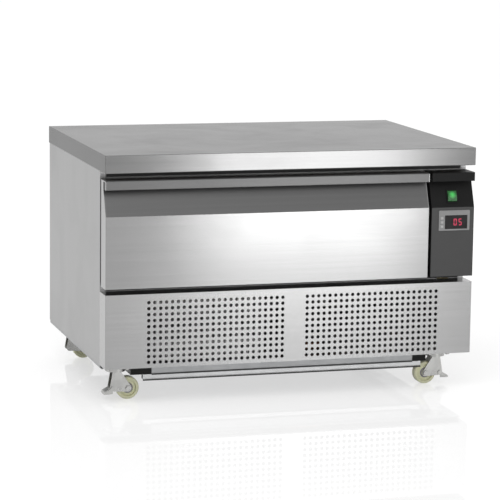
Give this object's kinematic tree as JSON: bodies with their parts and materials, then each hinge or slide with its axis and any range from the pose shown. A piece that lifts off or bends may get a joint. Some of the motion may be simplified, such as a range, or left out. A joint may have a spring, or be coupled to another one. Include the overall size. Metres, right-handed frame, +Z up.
{
  "type": "refrigerated drawer counter",
  "caption": "Low stainless refrigerated counter on castors, with one wide pull-out drawer, a control panel at its right and a perforated cover over the machine compartment.",
  "frame": {"origin": "on the floor under the middle of the footprint", "axes": "+X to the right of someone facing the front, +Y towards the back, +Z up"},
  "size_m": [0.9, 0.63, 0.582],
  "materials": {
    "stainless_brushed": "fine brushed stainless sheet",
    "grey_anodised": "dark grey anodised, finely lined",
    "black_paint": "satin powder coat",
    "galvanised": "plain zinc-coated sheet",
    "zinc_plate": "bright zinc plating",
    "board": "raw moisture-proof board",
    "foam": "rigid closed-cell foam",
    "black_seal": "matte",
    "black_moulding": "finely textured moulding",
    "grey_panel": "satin printed foil",
    "silver_bezel": "satin silver",
    "dark_window": "smoked and glossy",
    "green_rocker": "glossy and translucent, lit from inside",
    "cream_nylon": "waxy nylon",
    "aluminium_fins": "mill finish",
    "fan_plastic": "satin",
    "black_enamel": "semi-gloss enamel",
    "copper": "drawn copper",
    "drain_plastic": "translucent grey"
  },
  "bodies": {
    "cabinet": {"worktop": "stainless_brushed", "side_panel_left": "stainless_brushed", "side_panel_right": "stainless_brushed", "front_frame": "stainless_brushed", "machine_cover": "stainless_brushed", "liner": "stainless_brushed", "evaporator_cover": "stainless_brushed", "back_panel": "galvanised", "base_plate": "galvanised", "drip_tray": "galvanised", "front_rail": "galvanised", "cabinet_runners": "galvanised", "condenser_shroud": "galvanised", "chassis_beams": "black_paint", "castor_plates": "zinc_plate", "castor_bolts": "zinc_plate", "worktop_board": "board", "foam_body": "foam", "compressor_mounts": "black_seal", "control_cap": "black_moulding", "switch_body": "black_moulding", "relay_cover": "black_moulding", "power_inlet": "black_moulding", "control_fascia": "grey_panel", "thermostat_case": "silver_bezel", "thermostat_window": "dark_window", "condenser": "aluminium_fins", "evaporator_coil": "aluminium_fins", "compressor": "black_enamel", "condenser_fan_motor": "black_enamel", "evaporator_fan_motor": "black_enamel", "refrigerant_pipes": "copper", "filter_drier": "copper", "drain_tube": "drain_plastic"},
    "drawer": {"drawer_skin": "stainless_brushed", "drawer_handle": "grey_anodised", "drawer_foam": "foam", "drawer_inner_panel": "stainless_brushed", "drawer_gasket": "black_seal", "drawer_tub": "stainless_brushed", "pan_bar": "stainless_brushed", "tub_runners": "galvanised"},
    "runner_middle_left": {"middle_runner_left": "galvanised"},
    "runner_middle_right": {"middle_runner_right": "galvanised"},
    "rocker": {"switch_rocker": "green_rocker"},
    "key_1": {"thermostat_key_1": "black_moulding"},
    "key_2": {"thermostat_key_2": "black_moulding"},
    "key_3": {"thermostat_key_3": "black_moulding"},
    "evaporator_blades": {"evaporator_fan": "fan_plastic"},
    "condenser_blades": {"condenser_fan": "fan_plastic"},
    "fork_front_left": {"castor_fork_front_left": "zinc_plate"},
    "wheel_front_left": {"castor_wheel_front_left": "cream_nylon"},
    "fork_front_right": {"castor_fork_front_right": "zinc_plate"},
    "wheel_front_right": {"castor_wheel_front_right": "cream_nylon"},
    "fork_back_left": {"castor_fork_back_left": "zinc_plate"},
    "wheel_back_left": {"castor_wheel_back_left": "cream_nylon"},
    "fork_back_right": {"castor_fork_back_right": "zinc_plate"},
    "wheel_back_right": {"castor_wheel_back_right": "cream_nylon"},
    "pedal_front_left": {"brake_pedal_front_left": "zinc_plate"},
    "pedal_front_right": {"brake_pedal_front_right": "zinc_plate"}
  },
  "joints": [
    {"name": "drawer_slide", "type": "slide", "parent": "cabinet", "child": "drawer", "axis": [0, -1, 0], "range_m": [0, 0.48]},
    {"name": "middle_left_slide", "type": "slide", "parent": "cabinet", "child": "runner_middle_left", "axis": [0, -1, 0], "range_m": [0, 0.24]},
    {"name": "middle_right_slide", "type": "slide", "parent": "cabinet", "child": "runner_middle_right", "axis": [0, -1, 0], "range_m": [0, 0.24]},
    {"name": "rocker_tip", "type": "hinge", "parent": "cabinet", "child": "rocker", "pos_m": [0.396, -0.30027, 0.46494], "axis": [1, 0, 0], "range_deg": [-14, 0]},
    {"name": "key_1_press", "type": "slide", "parent": "cabinet", "child": "key_1", "axis": [0, 1, 0], "range_m": [0, 0.0008], "stiffness_N_per_m": 250},
    {"name": "key_2_press", "type": "slide", "parent": "cabinet", "child": "key_2", "axis": [0, 1, 0], "range_m": [0, 0.0008], "stiffness_N_per_m": 250},
    {"name": "key_3_press", "type": "slide", "parent": "cabinet", "child": "key_3", "axis": [0, 1, 0], "range_m": [0, 0.0008], "stiffness_N_per_m": 250},
    {"name": "evaporator_fan_spin", "type": "hinge", "parent": "cabinet", "child": "evaporator_blades", "pos_m": [0.3025, -0.1321, 0.40175], "axis": [1, 0, 0], "continuous": true},
    {"name": "condenser_fan_spin", "type": "hinge", "parent": "cabinet", "child": "condenser_blades", "pos_m": [-0.185, -0.17, 0.161], "axis": [0, 1, 0], "continuous": true},
    {"name": "swivel_front_left", "type": "hinge", "parent": "cabinet", "child": "fork_front_left", "pos_m": [-0.406, -0.235, 0.07], "axis": [0, 0, 1], "continuous": true},
    {"name": "roll_front_left", "type": "hinge", "parent": "fork_front_left", "child": "wheel_front_left", "pos_m": [-0.378, -0.235, 0.027], "axis": [0, 1, 0], "continuous": true},
    {"name": "swivel_front_right", "type": "hinge", "parent": "cabinet", "child": "fork_front_right", "pos_m": [0.39, -0.235, 0.07], "axis": [0, 0, 1], "continuous": true},
    {"name": "roll_front_right", "type": "hinge", "parent": "fork_front_right", "child": "wheel_front_right", "pos_m": [0.362, -0.235, 0.027], "axis": [0, 1, 0], "continuous": true},
    {"name": "swivel_back_left", "type": "hinge", "parent": "cabinet", "child": "fork_back_left", "pos_m": [-0.406, 0.243, 0.07], "axis": [0, 0, 1], "continuous": true},
    {"name": "roll_back_left", "type": "hinge", "parent": "fork_back_left", "child": "wheel_back_left", "pos_m": [-0.378, 0.243, 0.027], "axis": [0, 1, 0], "continuous": true},
    {"name": "swivel_back_right", "type": "hinge", "parent": "cabinet", "child": "fork_back_right", "pos_m": [0.39, 0.243, 0.07], "axis": [0, 0, 1], "continuous": true},
    {"name": "roll_back_right", "type": "hinge", "parent": "fork_back_right", "child": "wheel_back_right", "pos_m": [0.362, 0.243, 0.027], "axis": [0, 1, 0], "continuous": true},
    {"name": "pedal_front_left_press", "type": "hinge", "parent": "fork_front_left", "child": "pedal_front_left", "pos_m": [-0.415, -0.235, 0.027], "axis": [0, -1, 0], "range_deg": [0, 15]},
    {"name": "pedal_front_right_press", "type": "hinge", "parent": "fork_front_right", "child": "pedal_front_right", "pos_m": [0.399, -0.235, 0.027], "axis": [0, 1, 0], "range_deg": [0, 15]}
  ],
  "couplings": [
    {"joint": "middle_left_slide", "follows": "drawer_slide", "ratio": 0.5},
    {"joint": "middle_right_slide", "follows": "drawer_slide", "ratio": 0.5}
  ]
}
